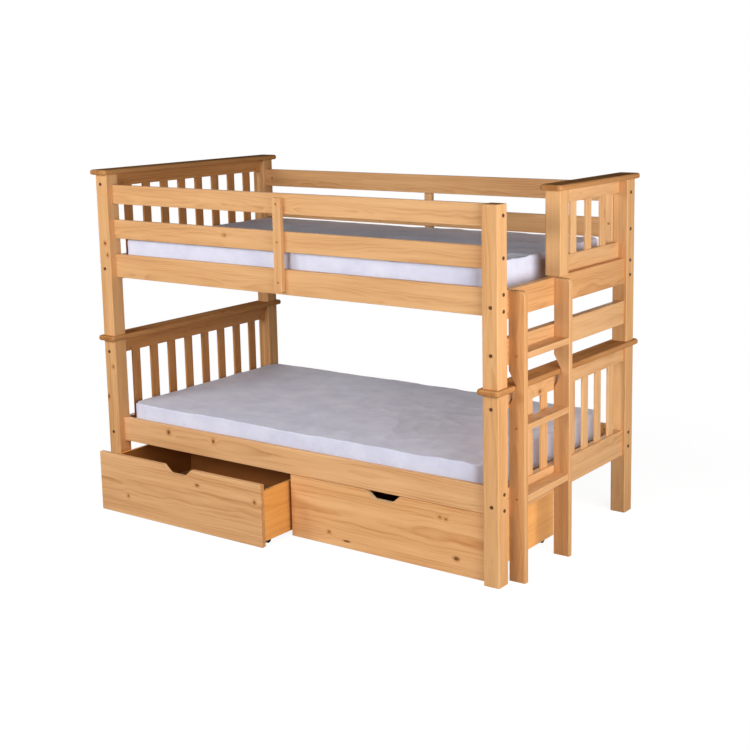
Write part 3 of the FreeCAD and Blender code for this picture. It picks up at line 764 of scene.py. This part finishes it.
# Cotton: the thread's pitch, waves per metre along x, y and z, two tones, weights, and spans and starts
THREAD_PITCH = 0.0016
SLUB_WAVES = (18.0, 420.0, 420.0)
CRUMPLE_WAVES = (16.0, 24.0, 24.0)
COTTON_CLOUD_WAVES = 9.0
COTTON_CLOUD_ROUGH = 0.6
COTTON_TONES = (colour("E4E6F6"), colour("C5C8E0"))
COTTON_CLOUD_TONE = (1.4, -0.5)
SLUB_TONE = 0.3
WEAVE_HEIGHT = 0.06
SLUB_HEIGHT = 0.1
CRUMPLE_HEIGHT = 0.9
COTTON_ROUGH = (0.1, 0.82)
COTTON_BUMP = dict(depth=0.0035, strength=0.6)
COTTON_GLOSS = dict(Specular_IOR_Level=0.2, Sheen_Weight=0.12)


def cover_finish():
    """Brushed cotton: a fine plain weave, faint slubs and soft cloudiness."""
    made, tree, target = new_material("cotton_cover")
    place = tree.add("TexCoord").outputs["Object"]
    x, y, z = tree.split(place)
    pitch = 2 * math.pi / THREAD_PITCH
    warp = tree.math("SINE", tree.math("MULTIPLY", tree.math("ADD", x, z), pitch))
    weft = tree.math("SINE", tree.math("MULTIPLY", tree.math("ADD", y, z), pitch))
    weave = tree.math("MULTIPLY", warp, weft)
    slub = tree.stretched(place, SLUB_WAVES)
    cloud = tree.noise(place, COTTON_CLOUD_WAVES, 4.0, COTTON_CLOUD_ROUGH)
    crumple = tree.stretched(place, CRUMPLE_WAVES, 3.0)
    depth = tree.math("MULTIPLY_ADD", cloud, *COTTON_CLOUD_TONE)
    depth = tree.math("MULTIPLY_ADD", slub, SLUB_TONE, depth, clamp=True)
    base = tree.mix(depth, *COTTON_TONES)
    height = tree.math("MULTIPLY_ADD", weave, WEAVE_HEIGHT, tree.math("MULTIPLY", slub, SLUB_HEIGHT))
    height = tree.math("MULTIPLY_ADD", crumple, CRUMPLE_HEIGHT, height)
    rough = tree.math("MULTIPLY_ADD", slub, *COTTON_ROUGH)
    surface(tree, target, base, rough, height, **COTTON_BUMP, **COTTON_GLOSS)
    return made


COVER = cover_finish()


def mattress(node, seed, turned):
    """A mattress in the place of its solid."""
    low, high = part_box(node)
    half = [(b - a) / 2 - COVER_INSET for a, b in zip(low, high)]
    made = rounded_block(node + "_cover", half, COVER_EDGE, COVER_CORNER, COVER_STEP)
    swell(made, half, COVER_SWELL)
    if turned:
        made.data.transform(Matrix.Scale(-1, 4, (0, 1, 0)))
        made.data.flip_normals()
    rumple(made, half, seed)
    made.data.transform(Matrix.Translation((low + high) / 2))
    for face in made.data.polygons:
        face.use_smooth = True
    finer = made.modifiers.new("finer", "SUBSURF")
    finer.levels = 1
    finer.render_levels = 1
    made.data.materials.append(COVER)
    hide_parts(node)
    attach(made, "bed")


mattress("lower_mattress", seed=1.7, turned=False)
mattress("upper_mattress", seed=6.2, turned=True)


# Floor, light and camera

FLOOR_HALF = 30.0
FLOOR_SHADED = 0.22
FLOOR_GLOW = 0.9
FLOOR_BOUNCE = 0.35
FLOOR_FADE = (1.2, 2.6)
AMBIENT = 0.03
# Each lamp's name, its place, the point that it looks at, its watts, width and height
LAMPS = (
    ("left", (-1.8, -3.2, 2.2), (-0.5, -0.4, 0.7), 52.0, 1.2, 1.2),
    ("front", (-0.1, -4.4, 2.1), (0.2, -0.3, 0.6), 82.0, 1.0, 1.0),
    ("side", (3.4, -1.0, 1.4), (0.8, 0.0, 0.8), 106.0, 3.0, 1.6),
    ("rear", (-2.8, 2.6, 0.5), (0.0, 0.1, 0.7), 85.0, 1.8, 0.7),
)
CAMERA_PLACE = (3.4298, -4.4519, 1.8652)
CAMERA_TURN = math.radians(35.47)
CAMERA_PITCH = math.radians(9.63)
CAMERA_ROLL = math.radians(-0.97)
CAMERA_SENSOR = 36.0
CAMERA_LENS = 64.29
CAMERA_SHIFT = (-0.04, -0.10)


def light_path(tree):
    """1 for the rays that see the background as it is: the camera's, and those in gloss or glass."""
    path = tree.add("LightPath").outputs
    seen = tree.math("MAXIMUM", path["Is Camera Ray"], path["Is Glossy Ray"])
    return tree.math("MAXIMUM", seen, path["Is Transmission Ray"])


def floor_finish():
    """A pale floor that shows the bed's shadow faintly."""
    made, tree, target = new_material("pale_floor")
    shaded = tree.add("BsdfDiffuse", {"Color": grey(FLOOR_SHADED)})
    glow = tree.add("Emission", {"Color": WHITE, "Strength": FLOOR_GLOW})
    near = tree.add("AddShader", {0: shaded.outputs[0], 1: glow.outputs[0]})
    far = tree.add("Emission", {"Color": WHITE, "Strength": 1.0})
    away = tree.ramp(tree.length(tree.add("TexCoord").outputs["Object"]), *FLOOR_FADE)
    seen = tree.add("MixShader", {0: away, 1: near.outputs[0], 2: far.outputs[0]})
    plain = tree.add("BsdfDiffuse", {"Color": grey(FLOOR_BOUNCE)})
    mixed = tree.add("MixShader", {0: light_path(tree), 1: plain.outputs[0], 2: seen.outputs[0]})
    tree.tree.links.new(mixed.outputs[0], target)
    return made


def lamp(name, place, aim, power, width, height):
    """A soft rectangular light that looks at a point."""
    data = bpy.data.lights.new(name, "AREA")
    data.shape = "RECTANGLE"
    data.size = width
    data.size_y = height
    data.energy = power
    made = bpy.data.objects.new(name, data)
    made.location = place
    made.rotation_euler = (Vector(aim) - Vector(place)).to_track_quat("-Z", "Y").to_euler()
    bpy.context.scene.collection.objects.link(made)


corners = [(x * FLOOR_HALF, y * FLOOR_HALF, 0.0) for x, y in ((-1, -1), (1, -1), (1, 1), (-1, 1))]
floor_mesh = bpy.data.meshes.new("floor")
floor_mesh.from_pydata(corners, [], [(0, 1, 2, 3)])
floor_mesh.materials.append(floor_finish())
floor = bpy.data.objects.new("floor", floor_mesh)
bpy.context.scene.collection.objects.link(floor)

world = bpy.data.worlds.new("studio")
world.use_nodes = True
world.node_tree.nodes.clear()
sky = Tree(world.node_tree)
around = sky.add("Background", {"Color": WHITE, "Strength": AMBIENT})
white = sky.add("Background", {"Color": WHITE, "Strength": 1.0})
blend = sky.add("MixShader", {0: light_path(sky), 1: around.outputs[0], 2: white.outputs[0]})
sky.add("OutputWorld", {"Surface": blend.outputs[0]})
bpy.context.scene.world = world

for values in LAMPS:
    lamp(*values)

flat = math.cos(CAMERA_PITCH)
forward = Vector((-math.sin(CAMERA_TURN) * flat, math.cos(CAMERA_TURN) * flat, -math.sin(CAMERA_PITCH)))
level = Vector((math.cos(CAMERA_TURN), math.sin(CAMERA_TURN), 0.0))
upward = level.cross(forward)
right = level * math.cos(CAMERA_ROLL) + upward * math.sin(CAMERA_ROLL)
up = upward * math.cos(CAMERA_ROLL) - level * math.sin(CAMERA_ROLL)
facing = Matrix((right, up, -forward)).transposed().to_4x4()
camera_data = bpy.data.cameras.new("camera")
camera_data.sensor_width = CAMERA_SENSOR
camera_data.lens = CAMERA_LENS
camera_data.shift_x, camera_data.shift_y = CAMERA_SHIFT
camera = bpy.data.objects.new("camera", camera_data)
camera.matrix_world = Matrix.Translation(CAMERA_PLACE) @ facing
bpy.context.scene.collection.objects.link(camera)
bpy.context.scene.camera = camera
bpy.context.scene.view_settings.view_transform = "Standard"
